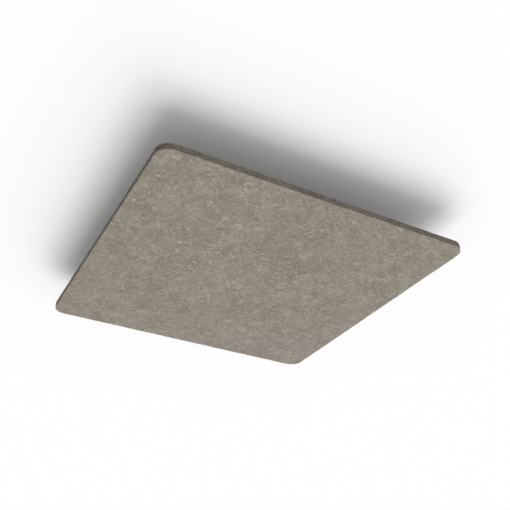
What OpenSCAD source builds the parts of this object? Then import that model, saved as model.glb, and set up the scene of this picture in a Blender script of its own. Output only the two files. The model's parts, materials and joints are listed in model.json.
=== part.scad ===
// Suspended ceiling tile: one square board of needle-punched felt, cut to rounded corners and hung
// level under a ceiling by wires that are anchored in four blind holes in its back.
// Millimetres, +Z up. The origin is the centre of the back, in the middle of the four hanging holes,
// so the visible face looks down from z = -thickness.

/* [Board] */
// Length of each side of the square board
side = 600; // [300:5:1200]
// Thickness of the felt
thickness = 12; // [9:1:25]
// Radius of the four corners in plan
corner_r = 25; // [5:1:80]
// Radius to which the cut felt relaxes along its upper and lower edges
arris_r = 0.6; // [0.2:0.1:2]

/* [Hanging holes] */
// Diameter of each blind hole
hole_d = 6; // [3:0.5:12]
// Felt left below each hole, so that nothing shows on the face
hole_floor = 4; // [2:0.5:6]
// Distance from the centre of each hole to the two nearest sides
hole_inset = 100; // [40:5:140]

/* [Hidden] */

// Straight stretch of each side, between the corner arcs
straight = side - 2 * corner_r;
// Spacing of the holes along both sides
hole_pitch = side - 2 * hole_inset;
// Depth of each hole
hole_depth = thickness - hole_floor;
// How far a cutting solid runs past the surface that it cuts
overcut = 1;
felt_colour = [146, 138, 127] / 255;
$fn = 64;

// Section of the board's border, from the start of the corner arcs out to the cut edge. The cut is
// square to the faces, with both arrises rounded. x runs outwards and y upwards, with the back at y = 0.
module border_section() {
    translate([0, -thickness]) square([corner_r - arris_r, thickness]);
    translate([0, arris_r - thickness]) square([corner_r, thickness - 2 * arris_r]);
    for (y = [-arris_r, arris_r - thickness])
        translate([corner_r - arris_r, y]) circle(arris_r);
}

// One straight side of the border, on the +X side of the board.
module border_side() {
    translate([straight / 2, straight / 2, 0])
        rotate([90, 0, 0]) linear_extrude(straight) border_section();
}

// One rounded corner of the border, in the +X +Y quarter of the board.
module border_corner() {
    translate([straight / 2, straight / 2, 0]) rotate_extrude(angle = 90) border_section();
}

// The middle of the board, framed by the border.
module board_middle() {
    translate([-straight / 2, -straight / 2, -thickness]) cube([straight, straight, thickness]);
}

// The four blind holes for the wire anchors, open at the back.
module hanging_holes() {
    for (x = [-1, 1], y = [-1, 1])
        translate([x * hole_pitch / 2, y * hole_pitch / 2, -hole_depth])
            cylinder(d = hole_d, h = hole_depth + overcut);
}

module felt_tile() {
    color(felt_colour)
        difference() {
            union() {
                board_middle();
                for (quarter = [0:3])
                    rotate(90 * quarter) {
                        border_side();
                        border_corner();
                    }
            }
            hanging_holes();
        }
}

felt_tile();
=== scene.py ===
# %% [markdown]
# # A felt ceiling tile
# The real tile is one square board of needle-punched polyester felt. Loose fibres of several shades
# are carded into a web, tangled by barbed needles and pressed between hot plates into a stiff sheet,
# and a knife cuts the sheet to a square with rounded corners. It hangs level, a few centimetres under
# a ceiling, and is seen from below.
#
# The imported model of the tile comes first, because everything below is made to its sizes. They could be
# typed in again, but then the picture and the model could drift apart.

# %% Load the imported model
import json
import math

import bpy
import numpy as np
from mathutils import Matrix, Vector


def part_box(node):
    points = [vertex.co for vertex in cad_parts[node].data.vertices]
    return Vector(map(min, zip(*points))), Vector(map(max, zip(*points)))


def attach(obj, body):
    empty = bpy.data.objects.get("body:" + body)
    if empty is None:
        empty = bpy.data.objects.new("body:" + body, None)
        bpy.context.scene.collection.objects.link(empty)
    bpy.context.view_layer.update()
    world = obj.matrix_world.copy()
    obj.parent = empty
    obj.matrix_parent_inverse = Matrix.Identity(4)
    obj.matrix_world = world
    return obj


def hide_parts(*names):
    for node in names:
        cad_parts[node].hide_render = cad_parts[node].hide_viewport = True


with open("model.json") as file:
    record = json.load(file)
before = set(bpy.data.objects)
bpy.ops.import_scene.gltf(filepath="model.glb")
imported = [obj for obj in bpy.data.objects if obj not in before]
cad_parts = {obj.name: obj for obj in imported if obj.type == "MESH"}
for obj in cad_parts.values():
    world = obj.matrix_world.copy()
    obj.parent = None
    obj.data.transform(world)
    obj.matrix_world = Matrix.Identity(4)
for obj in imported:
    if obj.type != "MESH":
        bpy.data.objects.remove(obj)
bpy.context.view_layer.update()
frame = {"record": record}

low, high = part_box("felt_tile")
print("the tile lies between", tuple(round(c, 4) for c in low), "and", tuple(round(c, 4) for c in high))

# %% [markdown]
# The board is cut from a pressed sheet and drilled for its wires. Its sizes could be measured on the mesh,
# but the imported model's box and record say them outright. The few that they don't tell are named here. All
# are in metres, as every length in this script is.

# %% Sizes of the board
MM = 0.001
SIDE = high.x - low.x
HALF = SIDE / 2
THICKNESS = high.z - low.z
BACK_Z = high.z
FACE_Z = low.z
CORNER_R = 25 * MM
ARRIS_R = 0.6 * MM
HOLE_FLOOR = 4 * MM

mounts = {mount["name"]: mount for mount in frame["record"]["mounts"]}
hole_dims = mounts["hanging_holes"]["dims"]
HOLE_R = hole_dims["hole_r_mm"] * MM
HOLE_DEPTH = THICKNESS - HOLE_FLOOR
HOLE_OUT = complex(hole_dims["spacing_x_mm"], hole_dims["spacing_y_mm"]) / 2 * MM
print(f"board {SIDE / MM:.0f} mm square, {THICKNESS / MM:.0f} mm thick, hole radius {HOLE_R / MM:.1f} mm")

# %% [markdown]
# ## The camera
# The view is from below, near one corner. A camera can be set by its place and its turn, but a viewing
# angle is easier to read: it looks at a point on the face from an azimuth and an elevation, and
# `to_track_quat` turns its own axes to that line of sight.

# %% Camera
VIEW_AZIMUTH = math.radians(-28.62)
VIEW_ELEVATION = math.radians(-32.39)
VIEW_DISTANCE = 1.31
VIEW_TARGET = Vector((-0.0304, -0.0991, FACE_Z))
LENS = 50

towards_camera = Vector((
    math.sin(VIEW_AZIMUTH) * math.cos(VIEW_ELEVATION),
    -math.cos(VIEW_AZIMUTH) * math.cos(VIEW_ELEVATION),
    math.sin(VIEW_ELEVATION),
))
camera = bpy.data.objects.new("camera", bpy.data.cameras.new("camera"))
camera.data.lens = LENS
camera.location = VIEW_TARGET + towards_camera * VIEW_DISTANCE
camera.rotation_mode = "QUATERNION"
camera.rotation_quaternion = (-towards_camera).to_track_quat("-Z", "Y")
bpy.context.scene.collection.objects.link(camera)
bpy.context.scene.camera = camera
print("camera at", tuple(round(c, 3) for c in camera.location))

# %% [markdown]
# ## The board
# The board could be a cube with a bevel, but felt is never quite flat, so its faces need points all
# over to rise and fall with. Plan points are held as complex numbers, because a quarter turn is then
# a multiplication by i, and the outline is the same quarter four times over.

# %% Outline of the board
STEPS = 192  # cells along each side, about 3 mm each


def outline(inset):
    """Points round the board in plan, this far inside the cut edge, and the outward direction at each.
    A quarter runs along one side at even steps, from the middle of one corner arc to the middle of the
    next: straight as far as the arc's start, then round by the distance past it over the radius."""
    radius = CORNER_R - inset
    straight = HALF - CORNER_R
    along = np.linspace(-1, 1, STEPS, endpoint=False) * (straight + radius * np.pi / 4)
    turn = np.clip(np.abs(along) - straight, 0, None) / radius
    outward = np.sign(along) * np.sin(turn) - 1j * np.cos(turn)
    quarter = np.clip(along, -straight, straight) - 1j * straight + radius * outward
    return (
        np.concatenate([quarter * 1j**k for k in range(4)]),
        np.concatenate([outward * 1j**k for k in range(4)]),
    )


def edge_distance(plan):
    """How far plan points lie inside the cut edge of a rounded square. Where a point reaches past the
    straight stretch, it is the corner radius less the length of that reach, and elsewhere the radius
    plus the shorter way back to the straight stretch."""
    past = np.abs(plan.real) + 1j * np.abs(plan.imag) - (HALF - CORNER_R) * (1 + 1j)
    reach = np.abs(np.maximum(past.real, 0) + 1j * np.maximum(past.imag, 0))
    return CORNER_R - reach - np.minimum(np.maximum(past.real, past.imag), 0)


def coons_patch(ring):
    """A grid of plan points that fills a closed ring of four equal sides. Each point is the blend of
    the two sides it lies between one way, plus the same the other way, less the blend of the four
    corners, which the first two have both counted."""
    closed = np.append(ring, ring[0])
    south, east, north, west = (closed[k * STEPS : (k + 1) * STEPS + 1] for k in range(4))
    north, west = north[::-1], west[::-1]
    u = np.linspace(0, 1, STEPS + 1)
    v = u[:, None]
    corners = (1 - v) * ((1 - u) * south[0] + u * south[-1]) + v * ((1 - u) * north[0] + u * north[-1])
    return (1 - v) * south + v * north + (1 - u) * west[:, None] + u * east[:, None] - corners


face_ring, outward = outline(ARRIS_R)
face_plan = coons_patch(face_ring)
narrowest = np.abs(np.diff(face_plan[STEPS // 2])).min()
print("face grid", face_plan.shape, "with cells from", round(narrowest / MM, 2), "mm wide")

# %% [markdown]
# The back is the same grid with four blind holes in it, which take the anchors of the hanging wires.
# A boolean would cut them, but would leave slivers in the grid. Here the grid itself is drawn in
# instead: round each hole's centre, its square rings of points become circles, and the innermost
# ones go down as the wall and the floor.

# %% Back with its blind holes
LIP = 0.5 * MM
FLOOR_FLAT = 0.9  # share of the hole's radius at the ring inside its floor's rim
FLOOR_RING, RIM_RING, LIP_RING, STILL_RING = 4, 6, 7, 13


def press_hole(plan, height, centre):
    """Draws the grid's rings round a hole into circles. Ring k has the points k cells from the centre.
    The radius is the hole's from the floor's rim to the mouth, grows past the lip, and is blended
    into the grid's own place, which the outermost ring keeps."""
    row, column = np.unravel_index(np.abs(plan - centre).argmin(), plan.shape)
    block = np.s_[row - STILL_RING : row + STILL_RING + 1, column - STILL_RING : column + STILL_RING + 1]
    step = np.arange(-STILL_RING, STILL_RING + 1)
    offset = step + 1j * step[:, None]
    ring = np.maximum(np.abs(offset.real), np.abs(offset.imag))
    reach = STILL_RING * abs(plan[row, column + 1] - plan[row, column])
    radius = np.interp(
        ring,
        [0, FLOOR_RING - 1, FLOOR_RING, RIM_RING, LIP_RING, STILL_RING],
        [0, FLOOR_FLAT * HOLE_R, HOLE_R, HOLE_R, HOLE_R + LIP, reach],
    )
    drawn = centre + radius * np.exp(1j * np.angle(offset))
    own = np.interp(ring, [LIP_RING, STILL_RING], [0, 1])
    plan[block] = drawn + own * (plan[block] - drawn)
    height[block] = np.interp(ring, [FLOOR_RING, RIM_RING, LIP_RING], [-HOLE_DEPTH, -LIP, 0])


hole_centres = [HOLE_OUT * 1j**quarter_turn for quarter_turn in range(4)]
back_plan = face_plan.copy()
back_height = np.zeros(back_plan.shape)
for centre in hole_centres:
    press_hole(back_plan, back_height, centre)
print("holes reach down to", round(back_height.min() / MM, 2), "mm below the back")

# %% [markdown]
# The knife leaves a border that is square to the faces, and the felt relaxes into a small round along
# each arris. A bevel modifier could round a box, but a section that is carried round the outline by a
# formula also gives each point its outward direction, which the next step needs. A narrow flat step
# beside each round keeps its shading from running out over the cut.

# %% Border between the two faces
ARRIS_STEPS = 4
WALL_STEPS = 12
GUARD = 0.5 * MM

bend = np.linspace(0, np.pi / 2, ARRIS_STEPS + 1)
arris_inset = ARRIS_R * (1 - np.sin(bend))
arris_rise = ARRIS_R * (1 - np.cos(bend))
wall_rise = np.linspace(ARRIS_R + GUARD, THICKNESS - ARRIS_R - GUARD, WALL_STEPS)
section_inset = np.concatenate([arris_inset[1:], 0 * wall_rise, arris_inset[:0:-1]])
section_rise = np.concatenate([arris_rise[1:], wall_rise, THICKNESS - arris_rise[:0:-1]])
section_tilt = np.concatenate([bend[1:], np.full(WALL_STEPS, np.pi / 2), np.pi - bend[:0:-1]])


def in_space(plan, height):
    """Points in space from plan points and their heights."""
    return np.stack(np.broadcast_arrays(plan.real, plan.imag, height), axis=-1)


border = in_space(np.stack([outline(inset)[0] for inset in section_inset]), FACE_Z + section_rise[:, None])
border_normals = in_space(np.sin(section_tilt)[:, None] * outward, -np.cos(section_tilt)[:, None])
print("border of", len(section_rise), "rows by", len(outward), "columns")

# %% [markdown]
# Pressed felt still swells and sinks by a fraction of a millimetre, in soft clouds where the web was
# thicker or thinner. A noise texture could displace the mesh, but a sum of waves is a plain formula
# that gives one height to one place, so points shared by the face and the border move together.

# %% Rise and fall of the felt
CLOUDS = ((38 * MM, 0.10 * MM), (17 * MM, 0.06 * MM), (8 * MM, 0.035 * MM))
WAVES = 40
SWELL_SEED = 3


def swell(points, clouds, seed):
    """Height of the felt at each point: for each size of cloud, the sum of waves of that length that
    run in random directions from random phases, scaled so that the given height is its usual size."""
    rng = np.random.default_rng(seed)
    height = np.zeros(len(points))
    for length, size in clouds:
        ways = rng.normal(size=(3, WAVES))
        ways *= 2 * np.pi / length / np.linalg.norm(ways, axis=0)
        phases = rng.uniform(0, 2 * np.pi, WAVES)
        height += size * np.sqrt(2 / WAVES) * np.cos(points @ ways + phases).sum(axis=1)
    return height


face_points = in_space(face_plan, FACE_Z).reshape(-1, 3)
back_points = in_space(back_plan, BACK_Z + back_height).reshape(-1, 3)
border_points = border.reshape(-1, 3)
board_points = np.concatenate([face_points, back_points, border_points])
board_normals = np.concatenate([
    np.broadcast_to([0.0, 0.0, -1.0], face_points.shape),
    np.broadcast_to([0.0, 0.0, 1.0], back_points.shape) * (back_height.reshape(-1, 1) == 0),
    border_normals.reshape(-1, 3),
])
board_points = board_points + board_normals * swell(board_points, CLOUDS, SWELL_SEED)[:, None]
most_swell = np.abs(board_points[: len(face_points), 2] - FACE_Z).max()
print("felt rises and falls by", round(most_swell / MM, 2), "mm")

# %% [markdown]
# The tile is one piece of felt, so the three grids become one closed mesh. They could be three meshes whose
# rims are merged, but here the border takes its first and last rows of points from the rims of the two
# faces, so that no seam is left to merge. Each cell is a quad.

# %% Board mesh


def cells(numbers, wrap=False):
    """The four corners of each cell of a grid of point numbers, counter-clockwise where rows go up and
    columns go right. With wrap, the last column joins the first."""
    if wrap:
        numbers = np.column_stack([numbers, numbers[:, 0]])
    corners = [numbers[:-1, :-1], numbers[:-1, 1:], numbers[1:, 1:], numbers[1:, :-1]]
    return np.stack(corners, axis=-1).reshape(-1, 4)


def rim(numbers):
    """The outer ring of a grid of point numbers, counter-clockwise from its first corner."""
    return np.concatenate([numbers[0, :-1], numbers[:-1, -1], numbers[-1, :0:-1], numbers[:0:-1, 0]])


def new_piece(name, points, faces):
    """A smooth mesh object at the origin, from arrays of points and of faces' corner numbers."""
    mesh = bpy.data.meshes.new(name)
    mesh.from_pydata(points.tolist(), [], faces)
    mesh.shade_smooth()
    piece = bpy.data.objects.new(name, mesh)
    bpy.context.scene.collection.objects.link(piece)
    return piece


face_numbers = np.arange(face_plan.size).reshape(face_plan.shape)
back_numbers = face_numbers + face_plan.size
border_numbers = np.arange(len(border_points)).reshape(border.shape[:2]) + 2 * face_plan.size
border_rows = np.vstack([rim(face_numbers), border_numbers, rim(back_numbers)])
board_faces = np.concatenate([
    cells(face_numbers)[:, ::-1],
    cells(back_numbers),
    cells(border_rows, wrap=True),
])
board = new_piece("felt_board", board_points, board_faces.tolist())
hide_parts("felt_tile")
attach(board, "root")
print("felt board:", 2 * len(board_faces), "triangles")

# %% [markdown]
# ## Fibres
# The pressed surface is a mat of fibres, and some of them stand a little proud of it in loose bows. A
# hair system could scatter them, but hair is left out of a mesh file, so each one is a thin closed tube
# whose tips go under the surface. Real fibres are about 0.03 mm thick: these are drawn nearly ten times
# as thick, so that they show.

# %% Tubes along bowed arches
FIBRE_RINGS = 5
FIBRE_SIDES = 3
FIBRE_DIVE = 0.1 * MM
FIBRE_FLATNESS = 0.6


def fibre_tubes(middle, along, up, length, bow, sway, lift, radius):
    """Points and triangles of closed tubes, one for each row of the arrays. At t from -1 to 1, a fibre
    has gone t half lengths along its direction and lies off it by the bow times t squared, plus the sway
    times t cubed less t. It is above the felt by the lift times 1 less t squared, less the dive that hides
    its tips, and on the cut edge it bends with the outline, by each point's distance from it. Its radius
    follows a half ellipse, so it is nil at the tips, and is flatter upwards."""
    t = np.linspace(-1, 1, FIBRE_RINGS + 2)[:, None]
    half, bow, sway, lift, radius = (size[:, None, None] for size in (length / 2, bow, sway, lift, radius))
    along, up = along[:, None], up[:, None]
    across = np.cross(up, along)
    line = middle[:, None] + half * t * along + (bow * t**2 + sway * (t**3 - t)) * across
    felt_height = swell(line.reshape(-1, 3), CLOUDS, SWELL_SEED).reshape(*line.shape[:2], 1)
    on_edge = np.linalg.norm(up[..., :2], axis=-1, keepdims=True)
    to_edge = on_edge * edge_distance(line[..., :1] + 1j * line[..., 1:2])
    line = line + up * (to_edge + felt_height + lift * (1 - t**2) - FIBRE_DIVE)
    side = half * across - (2 * bow * t + sway * (3 * t**2 - 1)) * along
    side = side / np.linalg.norm(side, axis=-1, keepdims=True)
    turn = np.pi / 2 + 2 * np.pi * np.arange(FIBRE_SIDES)[:, None] / FIBRE_SIDES
    spokes = np.cos(turn) * side[:, 1:-1, None] + FIBRE_FLATNESS * np.sin(turn) * up[:, None]
    rings = line[:, 1:-1, None] + (radius * np.sqrt(1 - t[1:-1] ** 2))[..., None] * spokes
    points = np.concatenate([rings.reshape(len(rings), -1, 3), line[:, :1], line[:, -1:]], axis=1)

    numbers = np.arange(FIBRE_RINGS * FIBRE_SIDES).reshape(FIBRE_RINGS, FIBRE_SIDES)
    quads = cells(numbers, wrap=True)
    first_ring, last_ring = numbers[0], numbers[-1]
    first_tip = np.full_like(first_ring, numbers.size)
    triangles = np.concatenate([
        quads[:, [0, 1, 2]],
        quads[:, [0, 2, 3]],
        np.stack([first_tip, np.roll(first_ring, -1), first_ring], axis=-1),
        np.stack([first_tip + 1, last_ring, np.roll(last_ring, -1)], axis=-1),
    ])
    each = np.arange(len(points))[:, None, None] * points.shape[1]
    return points, (triangles + each).reshape(-1, 3)


print("a fibre has", FIBRE_RINGS * FIBRE_SIDES + 2, "points")

# %% [markdown]
# Fibres differ: some are nearly straight and some curl, some are pale and some dark. Each could be
# placed by hand, but there are thousands, so their sizes and tones are drawn at random from ranges, with
# a fixed seed so that every run draws the same ones. A fibre's tone is stored on its points, where the
# material finds it.

# %% Random fibres
MOST_BOW = 0.3
MOST_SWAY = 0.35
FIBRE_LIFT = (0.1 * MM, 0.3 * MM)
FIBRE_RADIUS = (0.1 * MM, 0.16 * MM)
DARK_TONES = (0.0, 0.25)
PALE_TONES = (0.55, 1.0)


def fibre_sizes(rng, count, shortest, longest):
    """Sizes of fibres. Bow and sway are shares of the half length."""
    length = rng.uniform(shortest, longest, count)
    return {
        "length": length,
        "bow": rng.uniform(-MOST_BOW, MOST_BOW, count) * length / 2,
        "sway": rng.uniform(-MOST_SWAY, MOST_SWAY, count) * length / 2,
        "lift": rng.uniform(*FIBRE_LIFT, count),
        "radius": rng.uniform(*FIBRE_RADIUS, count),
    }


def new_fibres(name, rng, middle, along, up, sizes, dark_share, tuft):
    """A piece made of these fibres, with a tone from 0, dark, to 1, pale, on the points of each. Each tuft,
    this many fibres in a row, has one tone, and this share of the tufts is dark."""
    points, triangles = fibre_tubes(middle, along, up, **sizes)
    piece = new_piece(name, points.reshape(-1, 3), triangles.tolist())
    tufts = len(points) // tuft
    dark = rng.random(tufts) < dark_share
    tone = np.where(dark, rng.uniform(*DARK_TONES, tufts), rng.uniform(*PALE_TONES, tufts))
    shade = piece.data.attributes.new("tone", "FLOAT", "POINT")
    shade.data.foreach_set("value", np.repeat(tone, tuft * points.shape[1]).astype(np.float32))
    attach(piece, "root")
    print(name, "has", len(points), "fibres and", len(triangles), "triangles")
    return piece


# %% [markdown]
# On the two faces the fibres lie flat, in every direction, in loose wisps round random places. Even
# scatter would look like static, and wisps look like carded wool. Fibres that would reach past the cut
# edge or over a hole are left out, because the knife or the drill took them.

# %% Fibres on the face and the back
WISPS = 1700
WISP_FIBRES = 4
WISP_SPREAD = 7 * MM
FLAT_FIBRE = (6 * MM, 13 * MM)
FIBRE_INSET = 1 * MM
FACE_DARK_SHARE = 0.1
FACE_SEED, BACK_SEED = 11, 12


def flat_fibres(name, height, facing, holes, seed):
    """Wisps of fibres over a level face that looks up (1) or down (-1), clear of its holes."""
    rng = np.random.default_rng(seed)
    count = WISPS * WISP_FIBRES
    wisp = rng.uniform(-HALF, HALF, WISPS) + 1j * rng.uniform(-HALF, HALF, WISPS)
    scatter = rng.normal(size=count) + 1j * rng.normal(size=count)
    place = np.repeat(wisp, WISP_FIBRES) + WISP_SPREAD * scatter
    way = np.exp(1j * rng.uniform(0, 2 * np.pi, count))
    sizes = fibre_sizes(rng, count, *FLAT_FIBRE)
    clear = edge_distance(place) - sizes["length"] / 2 > FIBRE_INSET
    for hole in holes:
        clear &= np.abs(place - hole) - sizes["length"] / 2 > HOLE_R + LIP
    middle = in_space(place[clear], height)
    up = np.broadcast_to([0.0, 0.0, facing], middle.shape)
    kept = {key: size[clear] for key, size in sizes.items()}
    return new_fibres(name, rng, middle, in_space(way[clear], 0.0), up, kept, FACE_DARK_SHARE, tuft=1)


face_fibres = flat_fibres("face_fibres", FACE_Z, -1.0, [], FACE_SEED)
back_fibres = flat_fibres("back_fibres", BACK_Z, 1.0, hole_centres, BACK_SEED)

# %% [markdown]
# The cut edge shows the layers of the web, so its fibres lie along it, short because the knife cut
# them, and only a little aslant. They come in tufts of one shade, as they were carded, and more of them
# are dark than on the faces. They could be part of the board's own grid, but the same tubes as on the
# faces, with the outward direction for up, do it without more code.

# %% Fibres on the cut edge
EDGE_TUFTS = 1000
TUFT_FIBRES = 5
TUFT_REACH = 1.5 * MM
TUFT_SPREAD = 0.7 * MM
EDGE_DARK_SHARE = 0.36
EDGE_SEED = 13
EDGE_FIBRE = (3 * MM, 6 * MM)
EDGE_SLANT = 0.22
MOST_SLANT = 0.45
EDGE_MARGIN = 2 * MM

rng = np.random.default_rng(EDGE_SEED)
cut_ring, cut_outward = outline(0.0)
column = np.repeat(rng.integers(len(cut_ring), size=EDGE_TUFTS), TUFT_FIBRES)
count = len(column)
edge_up = cut_outward[column]
edge_place = cut_ring[column] + 1j * edge_up * rng.uniform(-TUFT_REACH, TUFT_REACH, count)
rise = np.repeat(rng.uniform(EDGE_MARGIN, THICKNESS - EDGE_MARGIN, EDGE_TUFTS), TUFT_FIBRES)
rise = np.clip(rise + TUFT_SPREAD * rng.normal(size=count), EDGE_MARGIN, THICKNESS - EDGE_MARGIN)
slant = np.clip(EDGE_SLANT * rng.normal(size=count), -MOST_SLANT, MOST_SLANT)
edge_fibres = new_fibres(
    "edge_fibres",
    rng,
    in_space(edge_place, FACE_Z + rise),
    in_space(1j * edge_up * np.cos(slant), np.sin(slant)),
    in_space(edge_up, 0.0),
    fibre_sizes(rng, count, *EDGE_FIBRE),
    EDGE_DARK_SHARE,
    tuft=TUFT_FIBRES,
)

# %% [markdown]
# ## Materials
# Colours are written as they look on a screen, and a shader wants them as light, so one function turns
# a hex value to linear. One more adds a node with its settings and its links. Nodes could be placed in
# the editor by hand, but written out they can be read, and every material below is made with these.

# %% Helpers for materials
MIX_SHARE, MIX_UNDER, MIX_OVER, MIX_RESULT = 0, 6, 7, 2  # places of a Mix node's colour sockets


def linear(hex_colour):
    """Linear RGBA of an sRGB hex colour. Near black it is the share of white over 12.92, and elsewhere the
    share plus 0.055, over 1.055, to the power 2.4."""
    share = np.array([int(hex_colour[k : k + 2], 16) for k in (1, 3, 5)]) / 255
    light = np.where(share <= 0.04045, share / 12.92, ((share + 0.055) / 1.055) ** 2.4)
    return (*light, 1.0)


def add(tree, kind, inputs=None, **settings):
    """Adds a node of this kind, with its settings, and fills inputs with values or links by name."""
    node = tree.nodes.new(kind)
    for name, value in settings.items():
        setattr(node, name, value)
    for name, value in (inputs or {}).items():
        if isinstance(value, bpy.types.NodeSocket):
            tree.links.new(value, node.inputs[name])
        else:
            node.inputs[name].default_value = value
    return node


def new_material(name):
    """An empty node material and its tree."""
    material = bpy.data.materials.new(name)
    material.use_nodes = True
    material.node_tree.nodes.clear()
    return material, material.node_tree


print("taupe as light:", tuple(round(c, 3) for c in linear("#928A7F")))

# %% [markdown]
# The felt is polyester, dyed in several shades of taupe and carded together before it was needled, so
# its colour is a melange: pale and dark fibres show as short bent flecks that lie in every direction.
# One noise would give round spots. Stretched noises give streaks, and the brightest of several that are
# stretched in different directions is a tangle of flecks. A single fibre is too fine to show, so a fleck
# stands for a bundle, about 2 mm wide. The place is first pushed about by a soft noise, which bends the
# flecks, but hardly up and down, so the cut edge keeps its layers.

# %% Tangles of flecks
WANDER_SIZE = 14 * MM
WANDER = (9 * MM, 9 * MM, 1.5 * MM)
DIRECTIONS = 5
LAYER_SHIFT = 1.0

felt, felt_tree = new_material("needle_punched_polyester_felt")
place = add(felt_tree, "ShaderNodeTexCoord").outputs["Object"]
wander = add(felt_tree, "ShaderNodeTexNoise", {"Vector": place, "Scale": 1 / WANDER_SIZE, "Detail": 1.0})
bent_place = add(felt_tree, "ShaderNodeVectorMath", {
    0: wander.outputs["Color"], 1: WANDER, 2: place}, operation="MULTIPLY_ADD").outputs[0]


def tangle(number, length, width, depth):
    """Brightest of several noises with cells of this length, width and depth, which lie in evenly spread
    directions. Each noise is shifted to a place of its own, so that no two are alike."""
    brightest = 0.0
    for turn in range(DIRECTIONS):
        stretched = add(felt_tree, "ShaderNodeMapping", {
            "Vector": bent_place, "Location": (LAYER_SHIFT * number, LAYER_SHIFT * (turn + 1), 0.0),
            "Rotation": (0.0, 0.0, math.pi * turn / DIRECTIONS), "Scale": (length, width, depth)},
            vector_type="TEXTURE")
        streak = add(felt_tree, "ShaderNodeTexNoise", {
            "Vector": stretched.outputs["Vector"], "Scale": 1.0, "Detail": 1.0})
        brightest = add(felt_tree, "ShaderNodeMath", {
            0: brightest, 1: streak.outputs["Fac"]}, operation="MAXIMUM").outputs[0]
    return brightest


pale_tufts = tangle(1, 17 * MM, 6 * MM, 3 * MM)
pale_flecks = tangle(2, 14 * MM, 2 * MM, 2.4 * MM)
dark_flecks = tangle(3, 10 * MM, 2.4 * MM, 2.4 * MM)
fine_web = tangle(4, 6 * MM, 0.6 * MM, 0.6 * MM)
print("the felt has", len(felt_tree.nodes), "nodes so far")

# %% [markdown]
# Under the flecks the ground is uneven too: the carded web is thicker and thinner in soft clouds, and
# its greenish shade drifts to a darker, warmer one in places. A painted picture could hold all this, but
# would blur close up. Here each layer is laid over the one before where its pattern is strong enough. The
# finish is matte, with a faint sheen from loose fibre ends, and the flecks stand proud in the bump.

# %% Pressed felt
WARM = linear("#83786C")
GREENISH = linear("#898175")
CLOUD_PALE = linear("#9F978A")
CLOUD_DARK = linear("#6F675B")
PALE_FIBRE = linear("#C4BBAD")
DARK_FIBRE = linear("#5F584E")
DRIFT_SIZE = 80 * MM
CLOUD_SIZE = 26 * MM
PROUD = 0.25 * MM
WEB_PROUD = 0.5


def lay_over(colour, shade, pattern, start, full, most):
    """Lays a shade over a colour: none of it where the pattern is at start, the most where at full."""
    share = add(felt_tree, "ShaderNodeMapRange", {
        "Value": pattern, "From Min": start, "From Max": full, "To Max": most})
    layer = add(felt_tree, "ShaderNodeMix", {
        MIX_SHARE: share.outputs["Result"], MIX_UNDER: colour, MIX_OVER: shade}, data_type="RGBA")
    return layer.outputs[MIX_RESULT]


cloud_place = add(felt_tree, "ShaderNodeMapping", {
    "Vector": place, "Location": (0.0, 0.0, THICKNESS / 2), "Scale": (CLOUD_SIZE, CLOUD_SIZE, THICKNESS)},
    vector_type="TEXTURE").outputs["Vector"]
drift = add(felt_tree, "ShaderNodeTexNoise", {
    "Vector": cloud_place, "Scale": CLOUD_SIZE / DRIFT_SIZE, "Detail": 1.0}).outputs["Fac"]
clouds = add(felt_tree, "ShaderNodeTexNoise", {
    "Vector": cloud_place, "Scale": 1.0, "Detail": 3.0, "Roughness": 0.6}).outputs["Fac"]
colour = lay_over(WARM, GREENISH, drift, start=0.3, full=0.55, most=1.0)
colour = lay_over(colour, CLOUD_PALE, clouds, start=0.5, full=0.8, most=0.69)
colour = lay_over(colour, CLOUD_DARK, clouds, start=0.5, full=0.2, most=0.69)
colour = lay_over(colour, PALE_FIBRE, pale_tufts, start=0.64, full=0.9, most=0.68)
colour = lay_over(colour, PALE_FIBRE, fine_web, start=0.6, full=0.85, most=0.35)
colour = lay_over(colour, DARK_FIBRE, dark_flecks, start=0.66, full=0.8, most=0.9)
colour = lay_over(colour, PALE_FIBRE, pale_flecks, start=0.69, full=0.81, most=1.0)

height = add(felt_tree, "ShaderNodeMath", {
    0: fine_web, 1: WEB_PROUD, 2: pale_flecks}, operation="MULTIPLY_ADD")
relief = add(felt_tree, "ShaderNodeBump", {"Height": height.outputs[0], "Distance": PROUD, "Strength": 1.0})
shader = add(felt_tree, "ShaderNodeBsdfPrincipled", {
    "Base Color": colour, "Roughness": 0.92, "Specular IOR Level": 0.2, "Sheen Weight": 0.15,
    "Sheen Roughness": 0.5, "Normal": relief.outputs["Normal"]})
add(felt_tree, "ShaderNodeOutputMaterial", {"Surface": shader.outputs["BSDF"]})
board.data.materials.append(felt)
print("felt:", len(felt_tree.nodes), "nodes")

# %% [markdown]
# The loose fibres are the same polyester in its separate shades. They could share the felt's pattern,
# but a fibre has one dye from end to end, so its stored tone picks its colour on a ramp from the darkest
# to the palest. Bare fibre is a little glossier than the pressed mat.

# %% Polyester fibre
fibre, fibre_tree = new_material("dyed_polyester_fibre")
tone = add(fibre_tree, "ShaderNodeAttribute", attribute_name="tone").outputs["Fac"]
shade = add(fibre_tree, "ShaderNodeValToRGB", {"Fac": tone})
shade.color_ramp.elements[0].color = linear("#5A5349")
shade.color_ramp.elements[1].color = linear("#D3CABC")
shader = add(fibre_tree, "ShaderNodeBsdfPrincipled", {
    "Base Color": shade.outputs["Color"], "Roughness": 0.75, "Specular IOR Level": 0.3})
add(fibre_tree, "ShaderNodeOutputMaterial", {"Surface": shader.outputs["BSDF"]})
for piece in (face_fibres, back_fibres, edge_fibres):
    piece.data.materials.append(fibre)
print("fibre:", len(fibre_tree.nodes), "nodes")

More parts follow.
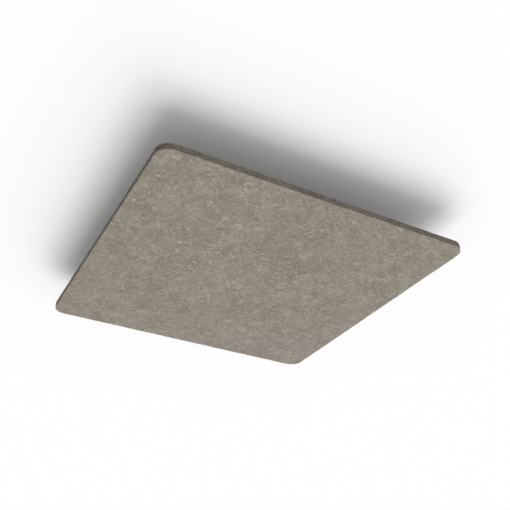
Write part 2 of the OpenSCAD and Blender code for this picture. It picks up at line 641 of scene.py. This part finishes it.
# %% [markdown]
# ## The stage
# The tile hangs under a white ceiling, which takes its shadow. Seen from above, the ceiling would hide
# it, and two sets could be swapped by hand. Instead each plane shows only on the side that it faces: the
# ceiling to views from below, and a white floor just under the tile to views from above. Light passes
# through both. Their paint glows a little, in place of the light that a real room throws back into a
# shadow.

# %% Ceiling and floor
CEILING_GAP = 60 * MM
FLOOR_GAP = 1 * MM
STAGE_SIZE = 60.0
GLOW = 0.11  # share of its white that the paint gives off by itself


def looks_at_stage(tree):
    """1 for the rays that see the background: the camera's own, and those that gloss or glass sends."""
    path = add(tree, "ShaderNodeLightPath").outputs
    both = add(tree, "ShaderNodeMath", {
        0: path["Is Camera Ray"], 1: path["Is Glossy Ray"]}, operation="ADD")
    return add(tree, "ShaderNodeMath", {
        0: both.outputs[0], 1: path["Is Transmission Ray"]}, operation="ADD", use_clamp=True).outputs[0]


def stage_plane(name, height, facing, colour):
    """A wide plane that only shows on the side it faces, up (1) or down (-1)."""
    corner = (1 + 1j) * STAGE_SIZE / 2
    corners = in_space(np.array([corner * 1j**k for k in range(4)]), height)
    plane = new_piece(name, corners, [[0, 1, 2, 3][::facing]])
    material, tree = new_material(name + "_paint")
    behind = add(tree, "ShaderNodeNewGeometry").outputs["Backfacing"]
    seen = add(tree, "ShaderNodeMath", {
        0: looks_at_stage(tree), 1: behind}, operation="SUBTRACT", use_clamp=True)
    matte = add(tree, "ShaderNodeBsdfDiffuse", {"Color": colour})
    glow = add(tree, "ShaderNodeEmission", {"Color": colour})
    paint = add(tree, "ShaderNodeMixShader", {0: GLOW, 1: matte.outputs[0], 2: glow.outputs[0]})
    clear = add(tree, "ShaderNodeBsdfTransparent")
    shown = add(tree, "ShaderNodeMixShader", {0: seen.outputs[0], 1: clear.outputs[0], 2: paint.outputs[0]})
    add(tree, "ShaderNodeOutputMaterial", {"Surface": shown.outputs[0]})
    plane.data.materials.append(material)
    print(name, "at", round(height / MM, 1), "mm")


stage_plane("ceiling", BACK_Z + CEILING_GAP, -1, linear("#FFFFFF"))
stage_plane("floor", FACE_Z - FLOOR_GAP, 1, linear("#FFFFFF"))

# %% [markdown]
# ## The light
# Nearly half of the light comes from the room all round, which is brighter to one side, most of all below.
# Lamps on every side could do it, but the world is simpler: two levels, for below and above, each with a
# lean. Its light counts only where it first lands, because a bounce off the felt would tint the white
# ceiling brown. What looks at the background sees plain white.

# %% Light of the room
ROOM_BELOW = 0.45
ROOM_ABOVE = 0.42
LEAN_BELOW = (0.27, -0.045, 0.0)  # how much the level grows towards each axis
LEAN_ABOVE = (0.08, -0.04, 0.0)
ROOM_BLEND = 0.3  # height, in a direction of length 1, over which below turns to above
FIRST_LANDING = 1.5  # matte surfaces a ray may have left: one where light first lands, more after a bounce

world = bpy.data.worlds.new("studio")
world.use_nodes = True
world.node_tree.nodes.clear()
world_tree = world.node_tree
way = add(world_tree, "ShaderNodeTexCoord").outputs["Generated"]
halves = []
for half_level, lean in ((ROOM_BELOW, LEAN_BELOW), (ROOM_ABOVE, LEAN_ABOVE)):
    slope = add(world_tree, "ShaderNodeVectorMath", {0: way, 1: lean}, operation="DOT_PRODUCT")
    half = add(world_tree, "ShaderNodeMath", {0: slope.outputs["Value"], 1: half_level}, operation="ADD")
    halves.append(half.outputs[0])
height = add(world_tree, "ShaderNodeSeparateXYZ", {0: way}).outputs["Z"]
above = add(world_tree, "ShaderNodeMapRange", {
    "Value": height, "From Min": -ROOM_BLEND, "From Max": ROOM_BLEND})
room = add(world_tree, "ShaderNodeMix", {"Factor": above.outputs[0], "A": halves[0], "B": halves[1]})
depth = add(world_tree, "ShaderNodeLightPath").outputs["Diffuse Depth"]
first = add(world_tree, "ShaderNodeMath", {0: depth, 1: FIRST_LANDING}, operation="LESS_THAN")
landing = add(world_tree, "ShaderNodeMath", {
    0: room.outputs["Result"], 1: first.outputs[0]}, operation="MULTIPLY")
level = add(world_tree, "ShaderNodeMix", {
    "Factor": looks_at_stage(world_tree), "A": landing.outputs[0], "B": 1.0})
sky = add(world_tree, "ShaderNodeBackground", {
    "Color": linear("#FFFFFF"), "Strength": level.outputs["Result"]})
add(world_tree, "ShaderNodeOutputWorld", {"Surface": sky.outputs[0]})
bpy.context.scene.world = world
print("room:", len(world_tree.nodes), "nodes")

# %% [markdown]
# The rest comes from one tall soft source below and beyond the tile, so its near edges lie in shade and its
# shadow on the ceiling leans towards the camera. A large lamp near by could do it, but wide suns keep the
# same softness everywhere, and a steep one and a low one together make the source tall. One more sun lights
# the back for views from above. Their light, too, counts only where it first lands. Each sun has the level
# that it gives a level face, the direction that it shines from and how wide it looks.

# %% Soft suns
STEEP_KEY, STEEP_SOURCE, STEEP_WIDTH = 0.37, (0.319, 0.483, -1.0), math.radians(54)
LOW_KEY, LOW_SOURCE, LOW_WIDTH = 0.175, (1.226, 1.42, -1.0), math.radians(39)
TOP_KEY, TOP_SOURCE, TOP_WIDTH = 0.58, (0.6, 0.7, 1.0), math.radians(62)


def sun(name, level, source, width):
    """A soft sun that shines from a direction. Its energy is the level that a face turned straight up
    or down gets, times pi over the sine of the sun's height."""
    lamp = bpy.data.objects.new(name, bpy.data.lights.new(name, "SUN"))
    source = Vector(source).normalized()
    lamp.data.energy = level * math.pi / abs(source.z)
    lamp.data.angle = width
    lamp.data.cycles.max_bounces = 0
    lamp.rotation_mode = "QUATERNION"
    lamp.rotation_quaternion = source.to_track_quat("Z", "Y")
    bpy.context.scene.collection.objects.link(lamp)
    print(name, "of energy", round(lamp.data.energy, 2))


sun("steep_from_below", STEEP_KEY, STEEP_SOURCE, STEEP_WIDTH)
sun("low_from_below", LOW_KEY, LOW_SOURCE, LOW_WIDTH)
sun("key_from_above", TOP_KEY, TOP_SOURCE, TOP_WIDTH)
bpy.context.scene.view_settings.view_transform = "Standard"
